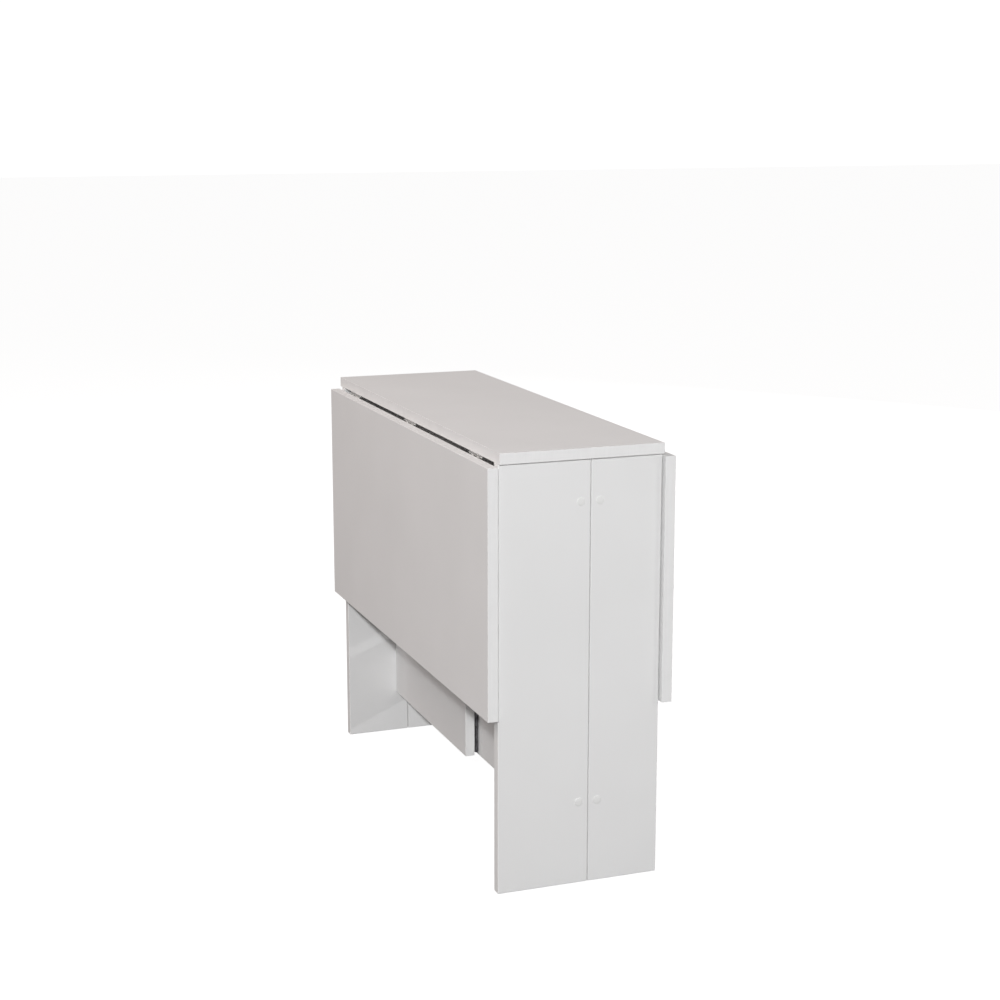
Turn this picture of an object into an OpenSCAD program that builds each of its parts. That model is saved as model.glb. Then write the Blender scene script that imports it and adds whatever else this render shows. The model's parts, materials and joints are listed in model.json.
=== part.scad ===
// Gateleg table with a narrow fixed top and two drop leaves, standing on two end boards.
// Each end is split by a seam: its wide part is fixed, its narrow part is the leg of a gate.
// Two rails on the centre plane, the spine, join the fixed ends, and each gate swings on them.
// X runs across the table, Y along the leaf hinges and Z up, from the middle of the footprint.
// Half a turn about Z maps the table onto itself, so a left or far piece is its right or near
// twin turned by 180 degrees.

/* [Table] */
// Height of the top above the floor
table_h = 735; // [720:1:760]
// Length of the top and the leaves
table_l = 900; // [800:10:1000]
// Width of the fixed top slab
top_w = 284; // [280:2:340]
// Thickness of every board but the spine's
board_t = 18; // [17:0.5:19]

/* [Leaves] */
// Depth of a leaf from its hinged edge to its free edge
leaf_d = 414; // [300:2:560]
// Gap between the slab's edge and a raised leaf
raised_gap = 2; // [1.5:0.1:3]
// Distance of the hinge axis from the faces that its plates lie on
leaf_axis_drop = 2.3; // [2.3:0.1:3]

/* [Ends] */
// Distance of an end's outer face from the slab's end
end_inset = 9; // [5:1:20]
// How far each long edge of an end stands back from the slab's edge
end_side_inset = 0.3; // [0.3:0.1:3]
// Distance of the seam from the centre plane
seam_x = 17.3; // [17:0.1:20]
// Width of the seam
seam_w = 1.2; // [0.6:0.1:2]
// Gap between the slab and the head of a gate leg
leg_head_gap = 0.5; // [0.3:0.1:1.5]

/* [Rails] */
// Height of every rail's cross-section
rail_h = 120; // [110:2:130]
// Height of the lower rails' centre line
lower_rail_z = 141; // [100:1:200]
// Height of the upper rails' centre line
upper_rail_z = 647; // [560:1:649]
// Thickness of a spine rail
spine_t = 32; // [28:1:32]
// Clear gap between the spine and a gate rail
rail_gap = 8; // [7:0.5:10]
// How far a gate rail runs past its pivot
rail_tail = 3; // [1:0.5:3]

/* [Leaf hinges] */
// Length of a leaf hinge
leaf_hinge_l = 63; // [50:1:80]
// Distance from the middle hinge to the hinge at either end
leaf_hinge_pitch = 343; // [250:1:350]
// Width of a hinge plate, from the axis
leaf_plate_w = 25; // [20:1:32]
// Radius of a knuckle
leaf_knuckle_r = 2.1; // [1.9:0.1:2.1]
// Radius of a hinge pin
leaf_pin_r = 1.1; // [0.9:0.1:1.2]

/* [Gate hinges] */
// Length of a gate hinge
gate_hinge_l = 108; // [90:1:108]
// Width of a gate hinge's plate, from the axis
gate_plate_w = 34; // [30:1:45]
// Thickness of a gate hinge's plate
gate_plate_t = 1.5; // [1.2:0.1:1.8]
// Radius of a gate hinge's pin
gate_pin_r = 1.5; // [1.2:0.1:1.6]

/* [Fasteners] */
// Radius of the cover cap on a connecting screw
cap_r = 7; // [6:0.5:9]
// Height of a cover cap above the board
cap_h = 1.2; // [0.8:0.1:2]
// Length of a connecting screw
confirmat_l = 50; // [45:1:60]
// Radius of a dowel
dowel_r = 4; // [3:0.5:5]
// Length of a dowel
dowel_l = 30; // [26:1:36]
// Distance of a rail's dowels from its centre line
dowel_offset = 40; // [20:1:45]
// Distance of the outer cam fitting from an end board's outer edge
cam_from_edge = 34; // [28:1:44]
// Distance of the inner cam fitting from the seam
cam_from_seam = 55; // [50:1:70]
// Distance of the outer slab dowel from an end board's outer edge
dowel_from_edge = 14; // [10:1:16]
// Distance of the inner slab dowel from the seam
dowel_from_seam = 33; // [30:1:36]

/* [Hidden] */
$fn = 48;

// Radial play of a pin in its bore, and of a fastener in its hole
play = 0.05;
// Extra reach of a cutting shape past the face that it opens
over = 1;

// Faces of the slab and the leaves
slab_z = table_h - board_t;
leaf_face_x = top_w / 2 + raised_gap;
leaf_axis_x = leaf_face_x - leaf_axis_drop;
leaf_axis_z = slab_z - leaf_axis_drop;
leaf_top_z = leaf_axis_z - leaf_axis_drop;
leaf_hinge_ys = [-leaf_hinge_pitch, 0, leaf_hinge_pitch];

// Faces of the ends
end_outer_y = table_l / 2 - end_inset;
end_inner_y = end_outer_y - board_t;
end_mid_y = end_outer_y - board_t / 2;
end_half_w = top_w / 2 - end_side_inset;
fixed_edge_x = seam_x - seam_w / 2;
cam_xs = [-end_half_w + cam_from_edge, fixed_edge_x - cam_from_seam];
slab_dowel_xs = [-end_half_w + dowel_from_edge, fixed_edge_x - dowel_from_seam];

// Faces of the gate rails, and the pivot midway between rail and spine
gate_face_x = spine_t / 2 + rail_gap;
gate_rail_x = gate_face_x + board_t / 2;
pivot_off = rail_gap / 2;
pivot_x = spine_t / 2 + pivot_off;
rail_zs = [lower_rail_z, upper_rail_z];

// Hinge proportions
leaf_plate_t = 1;
leaf_knuckles = 5;
leaf_plate_gap = 0.3;
leaf_screw_spots = [[9, -22], [18, 0], [9, 22]];
gate_knuckle_r = pivot_off - 0.75;
gate_knuckles = 5;
gate_plate_gap = 0.5;
gate_screw_spots = [[14, -40], [24, 0], [14, 40]];
pin_head_h = 0.8;

// Screw proportions: radius of head, radius of shank, length
leaf_screw = [3, 1.5, 14];
gate_screw = [3.5, 1.75, 14];
screw_tip_h = 3;

// Connecting screw proportions
confirmat_sink = 0.6;
confirmat_head_r = 4.9;
confirmat_head_h = 3.4;
confirmat_shank_r = 3.4;
confirmat_thread_r = 2.9;
socket_r = 2.4;
socket_h = 2.4;

// Dowel depth in the face of a board, and length of a dowel's chamfer
dowel_in_face = 11;
dowel_chamfer = 1;

// Cam fitting proportions
cam_drop = 34;
cam_r = 7.4;
cam_h = 12.4;
cam_slot_l = 9;
cam_slot_w = 1.6;
cam_slot_h = 2;
bolt_r = 3;
bolt_in_slab = 11;
bolt_under_cam = 3;

board_white = [0.87, 0.87, 0.86];
cap_white = [0.93, 0.93, 0.92];
bright_metal = [0.78, 0.79, 0.8];
zinc_metal = [0.68, 0.69, 0.7];
dowel_beech = [0.8, 0.66, 0.47];

// ---------- Placing ----------

module half_turn() {
  rotate(180) children();
}

module both_halves() {
  children();
  half_turn() children();
}

// Board between two opposite corners
module board(low, high) {
  translate(low) cube(high - low);
}

// Local Z points into the table from the near end's outer face, at x and z
module at_near_face(x, z) {
  translate([x, -end_outer_y, z]) rotate([-90, 0, 0]) children();
}

// Hinge frames of the right half: local Z along the pin, local Y into the board, local X
// away from the pin along the plate
module at_slab_plates() {
  for (y = leaf_hinge_ys)
    translate([leaf_axis_x, y, leaf_axis_z]) rotate(180) rotate([90, 0, 0]) children();
}

module at_leaf_plates() {
  for (y = leaf_hinge_ys)
    translate([leaf_axis_x, y, leaf_axis_z]) rotate([0, 90, 0]) rotate([90, 0, 0]) children();
}

module at_gate_plates() {
  for (z = rail_zs)
    translate([pivot_x, 0, z]) rotate(-90) children();
}

// With the gate closed its hinges are folded shut, both plates between the rail and the spine
module at_spine_plates() {
  at_gate_plates() rotate([180, 0, 0]) children();
}

// ---------- Fasteners ----------

// Countersunk screw along Z with its head's face at z = 0
module screw(size, grow = 0) {
  head_h = size[0] - size[1];
  cylinder(r1 = size[0] + grow, r2 = size[1] + grow, h = head_h);
  cylinder(r = size[1] + grow, h = size[2] - screw_tip_h + grow);
  translate([0, 0, size[2] - screw_tip_h + grow])
    cylinder(r1 = size[1] + grow, r2 = size[1] / 3, h = screw_tip_h);
}

// The space that a countersunk screw takes, open above its head
module screw_bore(size) {
  screw(size, play);
  translate([0, 0, -over]) cylinder(r = size[0] + play, h = over + 0.001);
}

module drive_cross(size) {
  for (turn = [0, 90])
    rotate(turn) cube([1.2 * size[0], 0.3 * size[0], size[0] - size[1]], center = true);
}

module crosshead_screw(size) {
  difference() {
    screw(size);
    drive_cross(size);
  }
}

// Screws of one hinge plate, in the hinge's frame
module plate_screws(spots, axis_off, plate_t) {
  for (spot = spots)
    translate([spot[0], axis_off - plate_t, spot[1]]) rotate([-90, 0, 0]) children();
}

// Connecting screw along Z, its head sunk below z = 0
module confirmat(grow = 0) {
  shank_end = board_t - 1;
  translate([0, 0, confirmat_sink - grow])
    cylinder(r = confirmat_head_r + grow, h = confirmat_head_h + 2 * grow);
  translate([0, 0, confirmat_sink])
    cylinder(r = confirmat_shank_r + grow, h = shank_end - confirmat_sink);
  translate([0, 0, shank_end - over])
    cylinder(r = confirmat_thread_r + grow, h = confirmat_l - shank_end - screw_tip_h + over);
  translate([0, 0, confirmat_l - screw_tip_h])
    cylinder(r1 = confirmat_thread_r + grow, r2 = 1 + grow, h = screw_tip_h + grow);
}

module confirmat_bore() {
  confirmat(play);
  translate([0, 0, -over]) cylinder(r = confirmat_head_r + play, h = over + confirmat_sink);
}

module confirmat_screw() {
  difference() {
    confirmat();
    translate([0, 0, confirmat_sink - over])
      cylinder(r = socket_r, h = over + socket_h, $fn = 6);
  }
}

// Cover cap: a bevelled disc on the face and a plug in the screw's socket
module screw_cap() {
  bevel = cap_h / 2;
  plug_h = confirmat_sink + socket_h - 0.4;
  translate([0, 0, -cap_h]) cylinder(r1 = cap_r - 2 * bevel, r2 = cap_r, h = bevel);
  translate([0, 0, -bevel]) cylinder(r = cap_r, h = bevel);
  translate([0, 0, -bevel]) cylinder(r = socket_r - play, h = plug_h + bevel, $fn = 6);
}

// Dowel along Z, its foot at z = 0
module dowel() {
  cylinder(r1 = dowel_r - dowel_chamfer / 2, r2 = dowel_r, h = dowel_chamfer);
  translate([0, 0, dowel_chamfer]) cylinder(r = dowel_r, h = dowel_l - 2 * dowel_chamfer);
  translate([0, 0, dowel_l - dowel_chamfer])
    cylinder(r1 = dowel_r, r2 = dowel_r - dowel_chamfer / 2, h = dowel_chamfer);
}

module dowel_bore() {
  translate([0, 0, -dowel_chamfer / 2])
    cylinder(r = dowel_r + play, h = dowel_l + dowel_chamfer);
}

// Dowels of one rail end, in the near face's frame
module at_rail_dowels() {
  for (side = [-1, 1])
    translate([0, side * dowel_offset, board_t - dowel_in_face]) children();
}

// Everything drilled for one rail end, in the near face's frame
module rail_end_bores() {
  confirmat_bore();
  at_rail_dowels() dowel_bore();
}

// Places of the dowels and cams between the near end board and the slab
module at_slab_dowels() {
  for (x = slab_dowel_xs)
    translate([x, -end_mid_y, slab_z + dowel_in_face - dowel_l]) children();
}

module at_cams() {
  for (x = cam_xs)
    translate([x, -end_inner_y, slab_z - cam_drop]) rotate([90, 0, 0]) children();
}

module at_cam_bolts() {
  for (x = cam_xs)
    translate([x, -end_mid_y, slab_z - cam_drop - bolt_under_cam]) children();
}

module cam_bolt(grow = 0) {
  cylinder(r = bolt_r + grow, h = cam_drop + bolt_under_cam + bolt_in_slab + grow);
}

module slab_fixing_bores() {
  at_slab_dowels() dowel_bore();
  at_cam_bolts() translate([0, 0, -play]) cam_bolt(play);
}

// Cam in the near end board's frame: local Z into the board from its inner face
module cam() {
  difference() {
    cylinder(r = cam_r, h = cam_h);
    for (turn = [45, 135])
      rotate(turn) cube([cam_slot_l, cam_slot_w, 2 * cam_slot_h], center = true);
  }
}

module cam_bore() {
  translate([0, 0, -over]) cylinder(r = cam_r + play, h = cam_h + over + play);
}

// ---------- Hinges ----------

// One plate of a butt hinge, with the knuckles numbered in mine, in the hinge's frame
module hinge_plate(hinge_l, plate_w, plate_t, axis_off, knuckle_r, bore_r, count, mine, gap) {
  pitch = hinge_l / count;
  difference() {
    union() {
      translate([0, axis_off - plate_t, -hinge_l / 2]) cube([plate_w, plate_t, hinge_l]);
      for (i = mine)
        translate([0, 0, -hinge_l / 2 + i * pitch + gap / 2]) cylinder(r = knuckle_r, h = pitch - gap);
    }
    for (i = [0:count - 1])
      if (len(search(i, mine)) == 0)
        translate([-over, 0, -hinge_l / 2 + i * pitch - gap / 2])
          cube([over + knuckle_r + gap, axis_off + over, pitch + gap]);
    translate([0, 0, -hinge_l / 2 - over]) cylinder(r = bore_r, h = hinge_l + 2 * over);
  }
}

// Pin with a button head past each end of the hinge
module hinge_pin(hinge_l, pin_r, head_r) {
  translate([0, 0, -hinge_l / 2 - play]) cylinder(r = pin_r, h = hinge_l + 2 * play);
  for (end = [-1, 1])
    translate([0, 0, end * (hinge_l / 2 + play + pin_head_h / 2)])
      cylinder(r = head_r, h = pin_head_h, center = true);
}

module leaf_hinge_plate(mine) {
  difference() {
    hinge_plate(leaf_hinge_l, leaf_plate_w, leaf_plate_t, leaf_axis_drop, leaf_knuckle_r,
                leaf_pin_r + play, leaf_knuckles, mine, leaf_plate_gap);
    plate_screws(leaf_screw_spots, leaf_axis_drop, leaf_plate_t) screw_bore(leaf_screw);
  }
}

module leaf_plate_screws() {
  plate_screws(leaf_screw_spots, leaf_axis_drop, leaf_plate_t) children();
}

module gate_hinge_plate(mine) {
  difference() {
    hinge_plate(gate_hinge_l, gate_plate_w, gate_plate_t, pivot_off, gate_knuckle_r,
                gate_pin_r + play, gate_knuckles, mine, gate_plate_gap);
    plate_screws(gate_screw_spots, pivot_off, gate_plate_t) screw_bore(gate_screw);
  }
}

module gate_plate_screws() {
  plate_screws(gate_screw_spots, pivot_off, gate_plate_t) children();
}

// ---------- Boards ----------

module top_slab() {
  color(board_white) difference() {
    board([-top_w / 2, -table_l / 2, slab_z], [top_w / 2, table_l / 2, table_h]);
    both_halves() at_slab_plates() leaf_plate_screws() screw_bore(leaf_screw);
    both_halves() slab_fixing_bores();
  }
}

module leaf() {
  color(board_white) difference() {
    board([leaf_face_x, -table_l / 2, leaf_top_z - leaf_d],
          [leaf_face_x + board_t, table_l / 2, leaf_top_z]);
    at_leaf_plates() leaf_plate_screws() screw_bore(leaf_screw);
  }
}

module end_board() {
  color(board_white) difference() {
    board([-end_half_w, -end_outer_y, 0], [fixed_edge_x, -end_inner_y, slab_z]);
    for (z = rail_zs)
      at_near_face(0, z) rail_end_bores();
    slab_fixing_bores();
    at_cams() cam_bore();
  }
}

module spine_rail(mid_z) {
  color(board_white) difference() {
    board([-spine_t / 2, -end_inner_y, mid_z - rail_h / 2],
          [spine_t / 2, end_inner_y, mid_z + rail_h / 2]);
    both_halves() at_near_face(0, mid_z) rail_end_bores();
    both_halves() at_spine_plates() gate_plate_screws() screw_bore(gate_screw);
  }
}

module gate_leg() {
  color(board_white) difference() {
    board([seam_x + seam_w / 2, -end_outer_y, 0], [end_half_w, -end_inner_y, slab_z - leg_head_gap]);
    for (z = rail_zs)
      at_near_face(gate_rail_x, z) rail_end_bores();
  }
}

module gate_rail(mid_z) {
  color(board_white) difference() {
    board([gate_face_x, -end_inner_y, mid_z - rail_h / 2],
          [gate_face_x + board_t, rail_tail, mid_z + rail_h / 2]);
    at_near_face(gate_rail_x, mid_z) rail_end_bores();
    at_gate_plates() gate_plate_screws() screw_bore(gate_screw);
  }
}

// ---------- Metal and small pieces of the right or near half ----------

module slab_plates() {
  color(bright_metal) at_slab_plates() leaf_hinge_plate([0, 2, 4]);
}

module leaf_plates() {
  color(bright_metal) at_leaf_plates() leaf_hinge_plate([1, 3]);
}

module leaf_pins() {
  color(bright_metal) at_slab_plates() hinge_pin(leaf_hinge_l, leaf_pin_r, leaf_knuckle_r - 0.3);
}

module slab_plate_screws() {
  color(zinc_metal) at_slab_plates() leaf_plate_screws() crosshead_screw(leaf_screw);
}

module leaf_side_screws() {
  color(zinc_metal) at_leaf_plates() leaf_plate_screws() crosshead_screw(leaf_screw);
}

module spine_plates() {
  color(bright_metal) at_spine_plates() gate_hinge_plate([0, 2, 4]);
}

module gate_rail_plates() {
  color(bright_metal) at_gate_plates() gate_hinge_plate([1, 3]);
}

module gate_pins() {
  color(bright_metal) at_spine_plates() hinge_pin(gate_hinge_l, gate_pin_r, gate_knuckle_r - 0.6);
}

module spine_plate_screws() {
  color(zinc_metal) at_spine_plates() gate_plate_screws() crosshead_screw(gate_screw);
}

module gate_rail_screws() {
  color(zinc_metal) at_gate_plates() gate_plate_screws() crosshead_screw(gate_screw);
}

module near_confirmats(x) {
  color(zinc_metal) for (z = rail_zs)
    at_near_face(x, z) confirmat_screw();
}

module near_caps(x) {
  color(cap_white) for (z = rail_zs)
    at_near_face(x, z) screw_cap();
}

module near_dowels(x) {
  color(dowel_beech) for (z = rail_zs)
    at_near_face(x, z) at_rail_dowels() dowel();
}

module near_slab_dowels() {
  color(dowel_beech) at_slab_dowels() dowel();
}

module near_cams() {
  color(zinc_metal) difference() {
    at_cams() cam();
    at_cam_bolts() translate([0, 0, -play]) cam_bolt(2 * play);
  }
}

module near_cam_bolts() {
  color(zinc_metal) at_cam_bolts() cam_bolt();
}

top_slab();
half_turn() leaf();  // leaf_left
leaf();  // leaf_right
end_board();  // near_end_board
half_turn() end_board();  // far_end_board
spine_rail(upper_rail_z);  // spine_upper_rail
spine_rail(lower_rail_z);  // spine_lower_rail
half_turn() gate_leg();  // gate_left_leg
half_turn() gate_rail(upper_rail_z);  // gate_left_upper_rail
half_turn() gate_rail(lower_rail_z);  // gate_left_lower_rail
gate_leg();  // gate_right_leg
gate_rail(upper_rail_z);  // gate_right_upper_rail
gate_rail(lower_rail_z);  // gate_right_lower_rail
half_turn() slab_plates();  // leaf_left_hinge_slab_plates
half_turn() leaf_plates();  // leaf_left_hinge_leaf_plates
half_turn() leaf_pins();  // leaf_left_hinge_pins
half_turn() slab_plate_screws();  // leaf_left_hinge_slab_screws
half_turn() leaf_side_screws();  // leaf_left_hinge_leaf_screws
slab_plates();  // leaf_right_hinge_slab_plates
leaf_plates();  // leaf_right_hinge_leaf_plates
leaf_pins();  // leaf_right_hinge_pins
slab_plate_screws();  // leaf_right_hinge_slab_screws
leaf_side_screws();  // leaf_right_hinge_leaf_screws
half_turn() spine_plates();  // gate_left_hinge_spine_plates
half_turn() gate_rail_plates();  // gate_left_hinge_rail_plates
half_turn() gate_pins();  // gate_left_hinge_pins
half_turn() spine_plate_screws();  // gate_left_hinge_spine_screws
half_turn() gate_rail_screws();  // gate_left_hinge_rail_screws
spine_plates();  // gate_right_hinge_spine_plates
gate_rail_plates();  // gate_right_hinge_rail_plates
gate_pins();  // gate_right_hinge_pins
spine_plate_screws();  // gate_right_hinge_spine_screws
gate_rail_screws();  // gate_right_hinge_rail_screws
both_halves() near_confirmats(0);  // frame_confirmat_screws
half_turn() near_confirmats(gate_rail_x);  // gate_left_confirmat_screws
near_confirmats(gate_rail_x);  // gate_right_confirmat_screws
both_halves() near_caps(0);  // frame_screw_caps
half_turn() near_caps(gate_rail_x);  // gate_left_screw_caps
near_caps(gate_rail_x);  // gate_right_screw_caps
both_halves() near_dowels(0);  // frame_dowels
both_halves() near_slab_dowels();  // slab_dowels
half_turn() near_dowels(gate_rail_x);  // gate_left_dowels
near_dowels(gate_rail_x);  // gate_right_dowels
both_halves() near_cams();  // slab_cams
both_halves() near_cam_bolts();  // slab_cam_bolts
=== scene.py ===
"""Looks of the gateleg table: board, edging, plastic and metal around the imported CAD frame.

Every piece is made in the CAD's own frame, in metres: X across the table, Y along the leaf
hinges, Z up from the floor. Boards and caps are detailed pieces that stand for their CAD nodes.
The metal parts and dowels are the CAD nodes themselves with procedural materials.
"""
import json
import math

import bmesh
import bpy
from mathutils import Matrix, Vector

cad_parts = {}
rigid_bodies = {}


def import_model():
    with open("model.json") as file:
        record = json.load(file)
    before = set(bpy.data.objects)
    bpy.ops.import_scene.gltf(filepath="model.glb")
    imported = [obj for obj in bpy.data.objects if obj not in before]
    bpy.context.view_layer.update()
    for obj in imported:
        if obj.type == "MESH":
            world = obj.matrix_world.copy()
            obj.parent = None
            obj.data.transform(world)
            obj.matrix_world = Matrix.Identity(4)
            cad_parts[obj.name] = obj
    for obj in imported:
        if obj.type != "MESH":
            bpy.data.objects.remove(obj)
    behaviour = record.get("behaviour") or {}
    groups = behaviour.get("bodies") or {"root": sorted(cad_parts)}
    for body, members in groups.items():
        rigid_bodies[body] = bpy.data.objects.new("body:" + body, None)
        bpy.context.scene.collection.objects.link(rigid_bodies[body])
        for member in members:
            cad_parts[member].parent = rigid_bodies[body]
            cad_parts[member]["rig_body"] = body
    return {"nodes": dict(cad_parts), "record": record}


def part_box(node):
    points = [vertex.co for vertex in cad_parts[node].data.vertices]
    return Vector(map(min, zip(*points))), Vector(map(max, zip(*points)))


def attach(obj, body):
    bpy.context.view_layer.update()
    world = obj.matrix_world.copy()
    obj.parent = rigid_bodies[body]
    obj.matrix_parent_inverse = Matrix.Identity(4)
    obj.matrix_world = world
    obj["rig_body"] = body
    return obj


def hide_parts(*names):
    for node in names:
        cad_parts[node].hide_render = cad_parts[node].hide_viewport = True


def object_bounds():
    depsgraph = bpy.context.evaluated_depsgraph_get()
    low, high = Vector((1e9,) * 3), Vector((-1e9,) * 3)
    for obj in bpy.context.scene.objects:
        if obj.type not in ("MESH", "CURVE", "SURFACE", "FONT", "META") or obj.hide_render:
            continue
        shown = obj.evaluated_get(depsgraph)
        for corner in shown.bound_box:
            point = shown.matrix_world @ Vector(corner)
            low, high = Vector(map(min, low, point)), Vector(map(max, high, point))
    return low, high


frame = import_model()
cad_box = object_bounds()

MM = 0.001

# ---------- Camera ----------
CAMERA_AT = (-1.1756, -3.2102, 1.2754)
CAMERA_YAW = 20.541  # degrees to the right of +Y
CAMERA_PITCH = -11.766  # degrees up from level
LENS = 69.34
SENSOR = 36.0
VIEW_TRANSFORM = "Standard"

# ---------- Light ----------
SKY_TINT = (1.0, 0.96, 0.95)
SKY_STRENGTH = 0.31
BACKDROP_STRENGTH = 1.05
LIGHTS = [
    # name, place, aim, width, height, watts, tint
    ("key_lamp", (-2.08, -4.86, 2.39), (0.0, 0.0, 0.4), 0.20, 0.20, 160.0, (0.98, 0.99, 1.0)),
    ("high_left_softbox", (-2.6, 0.8, 3.2), (0.0, 0.0, 0.5), 2.4, 2.4, 47.0, (1.0, 0.88, 0.84)),
    ("right_spark", (2.3, -1.98, 1.11), (-0.1, 0.42, 0.15), 0.05, 0.05, 10.5, (1.0, 1.0, 1.0)),
    ("back_fill", (3.8, 3.0, 0.95), (0.0, 0.0, 0.4), 2.4, 1.6, 88.0, (1.0, 0.99, 0.98)),
]

# ---------- Stage ----------
FLOOR_SIZE = 60.0
FLOOR_DROP = 0.1 * MM
FLOOR_ALBEDO = 0.25
FLOOR_SEEN_ALBEDO = 0.3
FLOOR_SEEN_GLOW = 0.88

# ---------- Boards ----------
BOARD_SLOT = "white_board"
FACE_SHEEN = 0.26
ARRIS = 1.0 * MM
SLAB_ARRIS = 0.6 * MM
END_ARRIS = 1.5 * MM
ARRIS_STEPS = 3
ARRIS_PROFILE = 0.5
ON_PLANE = 0.01 * MM
SMOOTH_BELOW = 40.0  # degrees
FLAT_WITHIN = 0.3  # degrees
TOP_PLANE = (2, 1)
BUTTED_TO_SLAB = ("near_end_board", "far_end_board", "gate_left_leg", "gate_right_leg")

# ---------- Caps ----------
CAP_SLOT = "cap_plastic"
CAP_STEPS = 64
CAP_RIM = 0.32  # height of the rim, of the cap's height
CAP_RIM_EDGE = 0.75  # height of the rim's outer edge, of the rim's
CAP_PLUG = 2.0 * MM
CAP_PLUG_CHAMFER = 0.3 * MM
DOME_STEPS = 12
DOME_REACH = 0.97  # radius of the dome, of the cap's
DOME_POWER = 0.8

# ---------- Metal ----------
# scale of the rolling lines on each axis
ALONG_Y = (900.0, 60.0, 900.0)
ALONG_Z = (900.0, 900.0, 60.0)
NICKEL_DULL = (0.66, 0.65, 0.63)
NICKEL_BRIGHT = (0.78, 0.78, 0.77)
# gate hinge steel: a real metal strip whose near-black tone is painted shade for the dark slit
# between gate rail and spine
SLIT_SHADE_STEEL_DULL = (0.13, 0.13, 0.14)
SLIT_SHADE_STEEL_BRIGHT = (0.24, 0.24, 0.25)


# ---------- Node building ----------

class Maker:
    """A procedural material being built: every call adds one node and returns its output."""

    def __init__(self, name):
        self.material = bpy.data.materials.new(name)
        self.material.use_nodes = True
        self.tree = self.material.node_tree
        self.shader = self.tree.nodes["Principled BSDF"]
        self.place = self.add("ShaderNodeTexCoord").outputs["Object"]

    def add(self, kind, **inputs):
        made = self.tree.nodes.new(kind)
        for key, value in inputs.items():
            self.put(made.inputs[key.replace("_", " ")], value)
        return made

    def put(self, socket, value):
        if isinstance(value, bpy.types.NodeSocket):
            self.tree.links.new(value, socket)
        else:
            socket.default_value = value

    def stretched(self, scale):
        made = self.add("ShaderNodeMapping", Vector=self.place, Scale=scale)
        return made.outputs["Vector"]

    def noise(self, scale, detail=2.0, rough=0.5, vector=None):
        made = self.add("ShaderNodeTexNoise", Vector=vector or self.place,
                        Scale=scale, Detail=detail, Roughness=rough)
        return made.outputs["Fac"]

    def cells(self, scale):
        made = self.add("ShaderNodeTexVoronoi", Vector=self.place, Scale=scale)
        return made.outputs["Color"], made.outputs["Distance"]

    def spread(self, value, low, high, start=0.3, end=0.7):
        made = self.add("ShaderNodeMapRange", Value=value)
        ends = {"From Min": start, "From Max": end, "To Min": low, "To Max": high}
        for key, number in ends.items():
            made.inputs[key].default_value = number
        return made.outputs["Result"]

    def sum_of(self, one, two):
        made = self.add("ShaderNodeMath")
        made.operation = "ADD"
        self.put(made.inputs[0], one)
        self.put(made.inputs[1], two)
        return made.outputs["Value"]

    def ramp(self, value, stops):
        made = self.add("ShaderNodeValToRGB", Fac=value)
        points = made.color_ramp.elements
        while len(points) < len(stops):
            points.new(0.5)
        for point, (at, colour) in zip(points, stops):
            point.position = at
            point.color = (*colour, 1.0)
        return made.outputs["Color"]

    def bump(self, height, depth, normal=None):
        made = self.add("ShaderNodeBump", Height=height, Strength=1.0, Distance=depth)
        if normal is not None:
            self.put(made.inputs["Normal"], normal)
        return made.outputs["Normal"]

    def finish(self, **inputs):
        for key, value in inputs.items():
            self.put(self.shader.inputs[key.replace("_", " ")], value)
        return self.material


# ---------- Materials ----------

def melamine_face():
    """Melamine paper face: off-white, finely speckled, with a shallow pearl grain."""
    make = Maker("melamine_face")
    drift = make.noise(5.0, 2.0)
    speckle = make.noise(950.0, 3.0, 0.65)
    tone = make.sum_of(make.spread(drift, 0.0, 0.45), make.spread(speckle, 0.0, 0.55))
    colour = make.ramp(tone, [(0.0, (0.84, 0.84, 0.835)), (1.0, (0.89, 0.89, 0.887))])
    pearl = make.noise(700.0, 2.0, 0.55)
    grain = make.bump(pearl, 0.03 * MM)
    fibre = make.noise(90.0, 1.0)
    relief = make.bump(fibre, 0.02 * MM, normal=grain)
    gloss = make.sum_of(make.spread(pearl, 0.62, 0.74), make.spread(drift, -0.03, 0.03))
    return make.finish(Base_Color=colour, Roughness=gloss, Normal=relief,
                       Specular_IOR_Level=FACE_SHEEN)


def edging():
    """Edging strip: the same white, smoother, with faint lines drawn out along Y and Z."""
    make = Maker("edging")
    long_lines = make.noise(260.0, 3.0, 0.6, make.stretched((1.0, 0.06, 0.06)))
    soft = make.noise(40.0, 2.0)
    tone = make.sum_of(make.spread(long_lines, 0.0, 0.5), make.spread(soft, 0.0, 0.5))
    colour = make.ramp(tone, [(0.0, (0.87, 0.87, 0.865)), (1.0, (0.915, 0.915, 0.91))])
    relief = make.bump(long_lines, 0.015 * MM)
    gloss = make.spread(soft, 0.44, 0.54)
    return make.finish(Base_Color=colour, Roughness=gloss, Normal=relief,
                       Specular_IOR_Level=FACE_SHEEN)


def chipboard():
    """Raw particle board inside the drilled holes."""
    make = Maker("chipboard_core")
    flake, edge = make.cells(650.0)
    stops = [(0.0, (0.36, 0.24, 0.13)), (0.5, (0.56, 0.42, 0.26)), (1.0, (0.70, 0.56, 0.38))]
    wood = make.ramp(flake, stops)
    relief = make.bump(edge, 0.12 * MM)
    gloss = make.spread(edge, 0.75, 0.92, 0.0, 0.6)
    return make.finish(Base_Color=wood, Roughness=gloss, Normal=relief)


def cap_plastic():
    """Moulded cap: satin white plastic, lightly spark-eroded."""
    make = Maker("moulded_cap")
    erosion = make.noise(2200.0, 2.0)
    soft = make.noise(120.0, 2.0)
    colour = make.ramp(soft, [(0.3, (0.86, 0.86, 0.85)), (0.7, (0.90, 0.90, 0.89))])
    relief = make.bump(erosion, 0.008 * MM)
    gloss = make.spread(soft, 0.30, 0.38)
    return make.finish(Base_Color=colour, Roughness=gloss, Normal=relief)


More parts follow.
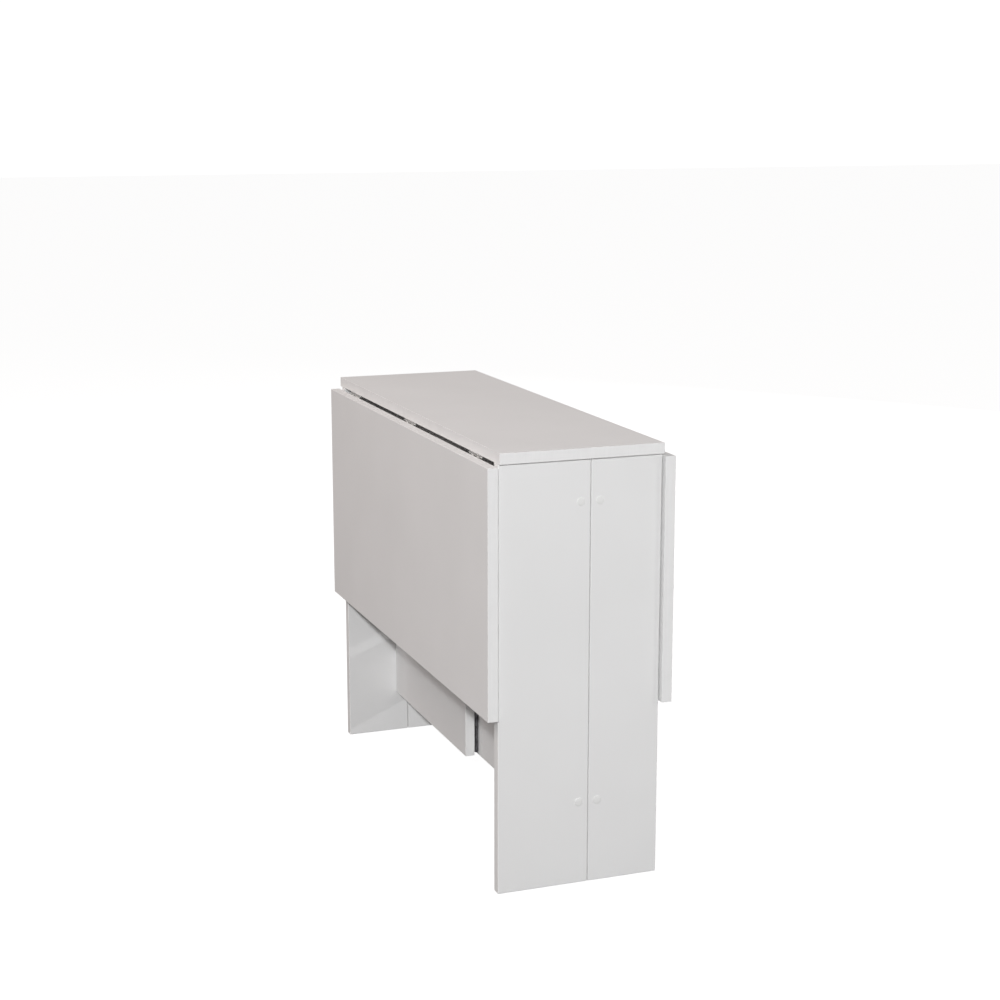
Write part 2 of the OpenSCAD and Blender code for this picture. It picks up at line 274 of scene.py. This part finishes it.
def rolled_steel(name, grain, dull, bright):
    """Metal strip: fine rolling lines, at a scale given for each axis, and soft clouding."""
    make = Maker(name)
    lines = make.noise(1.0, 3.0, 0.6, make.stretched(grain))
    cloud = make.noise(150.0, 3.0)
    colour = make.ramp(cloud, [(0.3, dull), (0.7, bright)])
    relief = make.bump(lines, 0.012 * MM)
    gloss = make.sum_of(make.spread(lines, 0.22, 0.34), make.spread(cloud, -0.04, 0.08))
    return make.finish(Base_Color=colour, Metallic=1.0, Roughness=gloss, Normal=relief)


def zinc_plate():
    """Zinc plating: a grey that drifts between blue and straw, slightly rough."""
    make = Maker("zinc_plate")
    drift = make.noise(170.0, 2.0)
    pits = make.noise(1900.0, 2.0)
    stops = [(0.3, (0.60, 0.63, 0.68)), (0.52, (0.68, 0.68, 0.68)), (0.72, (0.72, 0.68, 0.58))]
    colour = make.ramp(drift, stops)
    relief = make.bump(pits, 0.01 * MM)
    gloss = make.spread(pits, 0.30, 0.44)
    return make.finish(Base_Color=colour, Metallic=1.0, Roughness=gloss, Normal=relief)


def beech(name, along):
    """Turned beech: pale, with grain drawn out along one axis and short dark flecks."""
    make = Maker(name)
    grain_scale = [45.0 if i == along else 420.0 for i in range(3)]
    fleck_scale = [500.0 if i == along else 2600.0 for i in range(3)]
    grain = make.noise(1.0, 4.0, 0.6, make.stretched(grain_scale))
    fleck = make.noise(1.0, 1.0, 0.5, make.stretched(fleck_scale))
    tone = make.sum_of(grain, make.spread(fleck, 0.0, -0.25, 0.62, 0.72))
    stops = [(0.25, (0.50, 0.34, 0.20)), (0.5, (0.70, 0.53, 0.35)), (0.75, (0.80, 0.65, 0.46))]
    colour = make.ramp(tone, stops)
    relief = make.bump(grain, 0.05 * MM)
    gloss = make.spread(grain, 0.55, 0.7)
    return make.finish(Base_Color=colour, Roughness=gloss, Normal=relief)


# ---------- Boards ----------

def planes_of(point, low, high):
    """The box planes that a point lies on, as (axis, side) pairs."""
    found = set()
    for corner, side in ((low, 0), (high, 1)):
        found |= {(i, side) for i in range(3) if abs(point[i] - corner[i]) < ON_PLANE}
    return found


def arrises(bm, low, high, square_top):
    """The outer edges of a board to round, without those of a top that butts against the slab."""
    found = []
    for edge in bm.edges:
        shared = planes_of(edge.verts[0].co, low, high) & planes_of(edge.verts[1].co, low, high)
        if len(shared) > 1 and not (square_top and TOP_PLANE in shared):
            found.append(edge)
    return found


def depth_from(point, low, high, axes):
    """How deep a point lies inside a box, along the nearest of the axes."""
    return min(min(point[i] - low[i], high[i] - point[i]) for i in axes)


def arris_of(node):
    """Radius of a board's rounded edges."""
    if node == "top_slab":
        return SLAB_ARRIS
    if node in BUTTED_TO_SLAB:
        return END_ARRIS
    return ARRIS


def surface_of(face, low, high, thin, arris):
    """0 for the board's two wide faces, 1 for its edging, 2 for the walls of its holes."""
    if all(depth_from(v.co, low, high, [thin]) < ON_PLANE for v in face.verts):
        return 0
    others = [i for i in range(3) if i != thin]
    centre = face.calc_center_median()
    return 1 if depth_from(centre, low, high, others) < arris else 2


def board_piece(node, materials):
    """A board with eased arrises: the CAD board's own mesh, holes and all, welded and rounded."""
    low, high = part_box(node)
    size = high - low
    thin = min(range(3), key=lambda i: size[i])
    bm = bmesh.new()
    bm.from_mesh(frame["nodes"][node].data)
    bmesh.ops.remove_doubles(bm, verts=bm.verts, dist=ON_PLANE)
    bmesh.ops.dissolve_limit(bm, angle_limit=math.radians(FLAT_WITHIN),
                             verts=bm.verts, edges=bm.edges)
    arris = arris_of(node)
    rounded = arrises(bm, low, high, node in BUTTED_TO_SLAB)
    bmesh.ops.bevel(bm, geom=rounded, offset=arris, offset_type="OFFSET",
                    segments=ARRIS_STEPS, profile=ARRIS_PROFILE, affect="EDGES")
    for face in bm.faces:
        face.material_index = surface_of(face, low, high, thin, arris)
        face.smooth = True
    mesh = bpy.data.meshes.new(node + "_board")
    bm.to_mesh(mesh)
    bm.free()
    for material in materials:
        mesh.materials.append(material)
    as_piece(mesh, node)


def as_piece(mesh, node):
    """Shades a mesh, puts it in the scene and lets it stand for a CAD node on the node's body."""
    mesh.set_sharp_from_angle(angle=math.radians(SMOOTH_BELOW))
    piece = bpy.data.objects.new(mesh.name, mesh)
    bpy.context.scene.collection.objects.link(piece)
    shading = piece.modifiers.new("even_shading", "WEIGHTED_NORMAL")
    shading.keep_sharp = True
    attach(piece, frame["nodes"][node]["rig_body"])
    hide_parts(node)


# ---------- Caps ----------

def islands(node):
    """The boxes of a CAD node's separate solids."""
    bm = bmesh.new()
    bm.from_mesh(frame["nodes"][node].data)
    bmesh.ops.remove_doubles(bm, verts=bm.verts, dist=ON_PLANE)
    left = set(bm.verts)
    boxes = []
    while left:
        seed = left.pop()
        group, queue = [seed], [seed]
        while queue:
            vert = queue.pop()
            near = [e.other_vert(vert) for e in vert.link_edges]
            fresh = [v for v in near if v in left]
            left.difference_update(fresh)
            group += fresh
            queue += fresh
        low = Vector([min(v.co[i] for v in group) for i in range(3)])
        high = Vector([max(v.co[i] for v in group) for i in range(3)])
        boxes.append((low, high))
    bm.free()
    return sorted(boxes, key=lambda box: tuple(round(c, 5) for c in box[0]))


def cap_outline(radius, height, reach):
    """Radius and height of the cap's outline, from the dome's crown to the foot of its plug."""
    rim = CAP_RIM * height
    dome = []
    for step in range(DOME_STEPS + 1):
        turn = 0.5 * math.pi * step / DOME_STEPS
        across = radius * math.sin(turn) * DOME_REACH
        dome.append((across, rim + (height - rim) * math.cos(turn) ** DOME_POWER))
    edge = [(radius, rim * CAP_RIM_EDGE), (radius, 0.0)]
    plug = [(CAP_PLUG, 0.0), (CAP_PLUG, -reach + CAP_PLUG_CHAMFER)]
    tip = [(CAP_PLUG - CAP_PLUG_CHAMFER, -reach), (0.0, -reach)]
    return dome + edge + plug + tip


def add_lathe(bm, outline, centre, outward):
    """Turns an outline round the Y axis at a centre, its heights going outward."""
    rings = []
    for radius, height in outline:
        y = centre.y + outward * height
        if radius < ON_PLANE:
            rings.append([bm.verts.new((centre.x, y, centre.z))])
            continue
        ring = []
        for step in range(CAP_STEPS):
            turn = 2 * math.pi * step / CAP_STEPS
            x = centre.x + radius * math.cos(turn)
            z = centre.z + radius * math.sin(turn)
            ring.append(bm.verts.new((x, y, z)))
        rings.append(ring)
    for one, two in zip(rings, rings[1:]):
        for step in range(CAP_STEPS):
            after = (step + 1) % CAP_STEPS
            corners = [one[step % len(one)], one[after % len(one)]]
            corners += [two[after % len(two)], two[step % len(two)]]
            # a ring of one point gives the same corner twice, and fromkeys keeps it once
            bm.faces.new(list(dict.fromkeys(corners)))


def cap_piece(node, face_y, material):
    """The domed caps of one node, on the end boards' outer faces."""
    bm = bmesh.new()
    for low, high in islands(node):
        outward = -1 if low.y + high.y < 0 else 1
        outer = low.y if outward < 0 else high.y
        inner = high.y if outward < 0 else low.y
        foot = face_y * outward
        centre = Vector(((low.x + high.x) / 2, foot, (low.z + high.z) / 2))
        outline = cap_outline((high.x - low.x) / 2, abs(outer - foot), abs(inner - foot))
        add_lathe(bm, outline, centre, outward)
    bmesh.ops.recalc_face_normals(bm, faces=bm.faces)
    for face in bm.faces:
        face.smooth = True
    mesh = bpy.data.meshes.new(node + "_domed")
    bm.to_mesh(mesh)
    bm.free()
    mesh.materials.append(material)
    as_piece(mesh, node)


# ---------- Studio ----------

def aim(thing, target):
    """Turns an object so that its -Z axis points at a target."""
    away = Vector(target) - thing.location
    thing.rotation_euler = away.to_track_quat("-Z", "Y").to_euler()


def add_camera():
    """The camera at the photo's viewing angle, without shift."""
    data = bpy.data.cameras.new("photo_camera")
    data.lens = LENS
    data.sensor_width = SENSOR
    camera = bpy.data.objects.new("photo_camera", data)
    camera.location = CAMERA_AT
    camera.rotation_euler = (math.radians(90 + CAMERA_PITCH), 0.0, math.radians(-CAMERA_YAW))
    bpy.context.scene.collection.objects.link(camera)
    bpy.context.scene.camera = camera


def add_light(name, place, target, width, height, watts, tint):
    """A rectangular area light, aimed at a target."""
    data = bpy.data.lights.new(name, "AREA")
    data.shape = "RECTANGLE"
    data.size = width
    data.size_y = height
    data.energy = watts
    data.color = tint
    light = bpy.data.objects.new(name, data)
    light.location = place
    aim(light, target)
    bpy.context.scene.collection.objects.link(light)


def add_sky():
    """A white backdrop to the camera and a soft, faintly warm light to everything else."""
    world = bpy.data.worlds.new("studio")
    world.use_nodes = True
    tree = world.node_tree
    soft = tree.nodes["Background"]
    soft.inputs["Color"].default_value = (*SKY_TINT, 1.0)
    soft.inputs["Strength"].default_value = SKY_STRENGTH
    white = tree.nodes.new("ShaderNodeBackground")
    white.inputs["Color"].default_value = (1.0, 1.0, 1.0, 1.0)
    white.inputs["Strength"].default_value = BACKDROP_STRENGTH
    path = tree.nodes.new("ShaderNodeLightPath")
    mix = tree.nodes.new("ShaderNodeMixShader")
    tree.links.new(path.outputs["Is Camera Ray"], mix.inputs[0])
    tree.links.new(soft.outputs[0], mix.inputs[1])
    tree.links.new(white.outputs[0], mix.inputs[2])
    tree.links.new(mix.outputs[0], tree.nodes["World Output"].inputs["Surface"])
    bpy.context.scene.world = world


def floor_material():
    """Floor: near white to the camera, darker to the light, and clear from below."""
    material = bpy.data.materials.new("studio_floor")
    material.use_nodes = True
    tree = material.node_tree
    tree.nodes.remove(tree.nodes["Principled BSDF"])
    lit = tree.nodes.new("ShaderNodeBsdfDiffuse")
    lit.inputs["Color"].default_value = (*[FLOOR_ALBEDO] * 3, 1.0)
    seen = tree.nodes.new("ShaderNodeBsdfDiffuse")
    seen.inputs["Color"].default_value = (*[FLOOR_SEEN_ALBEDO] * 3, 1.0)
    glow = tree.nodes.new("ShaderNodeEmission")
    glow.inputs["Strength"].default_value = FLOOR_SEEN_GLOW
    bright = tree.nodes.new("ShaderNodeAddShader")
    path = tree.nodes.new("ShaderNodeLightPath")
    pick = tree.nodes.new("ShaderNodeMixShader")
    clear = tree.nodes.new("ShaderNodeBsdfTransparent")
    side = tree.nodes.new("ShaderNodeNewGeometry")
    both = tree.nodes.new("ShaderNodeMixShader")
    tree.links.new(seen.outputs[0], bright.inputs[0])
    tree.links.new(glow.outputs[0], bright.inputs[1])
    tree.links.new(path.outputs["Is Camera Ray"], pick.inputs[0])
    tree.links.new(lit.outputs[0], pick.inputs[1])
    tree.links.new(bright.outputs[0], pick.inputs[2])
    tree.links.new(side.outputs["Backfacing"], both.inputs[0])
    tree.links.new(pick.outputs[0], both.inputs[1])
    tree.links.new(clear.outputs[0], both.inputs[2])
    tree.links.new(both.outputs[0], tree.nodes["Material Output"].inputs["Surface"])
    return material


def add_floor():
    """A square floor just below the table's feet."""
    half = FLOOR_SIZE / 2
    level = cad_box[0].z - FLOOR_DROP
    plan = [(-half, -half), (half, -half), (half, half), (-half, half)]
    corners = [(x, y, level) for x, y in plan]
    mesh = bpy.data.meshes.new("studio_floor")
    mesh.from_pydata(corners, [], [(0, 1, 2, 3)])
    mesh.materials.append(floor_material())
    floor = bpy.data.objects.new("studio_floor", mesh)
    bpy.context.scene.collection.objects.link(floor)


# ---------- Making ----------

def finish_nodes():
    """Makes the detailed pieces and gives every other CAD node its material."""
    board_surfaces = [melamine_face(), edging(), chipboard()]
    plastic = cap_plastic()
    metals = {
        "hinge_steel": rolled_steel("nickel_strip", ALONG_Y, NICKEL_DULL, NICKEL_BRIGHT),
        # the gate hinge's near-black steel is painted shade for the slit between gate rail and
        # spine
        "dark_hinge_steel": rolled_steel("slit_shade_dark_strip", ALONG_Z,
                                         SLIT_SHADE_STEEL_DULL, SLIT_SHADE_STEEL_BRIGHT),
        "screw_steel": zinc_plate(),
    }
    dowel_wood = beech("beech_along_y", 1)
    upright_wood = beech("beech_upright", 2)
    face_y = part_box("near_end_board")[0].y
    slots = {row["node"]: row["material_slot"] for row in frame["record"]["subparts"]}
    for node, obj in frame["nodes"].items():
        slot = slots[node]
        if slot == BOARD_SLOT:
            board_piece(node, board_surfaces)
        elif slot == CAP_SLOT:
            cap_piece(node, abs(face_y), plastic)
        elif slot in metals:
            dress(obj, metals[slot])
        else:
            dress(obj, upright_wood if node == "slab_dowels" else dowel_wood)


def dress(obj, material):
    """Gives a CAD node's object one material all over."""
    for place in obj.material_slots:
        place.material = material


bpy.context.scene.view_settings.view_transform = VIEW_TRANSFORM
add_camera()
add_sky()
add_floor()
for light in LIGHTS:
    add_light(*light)
finish_nodes()
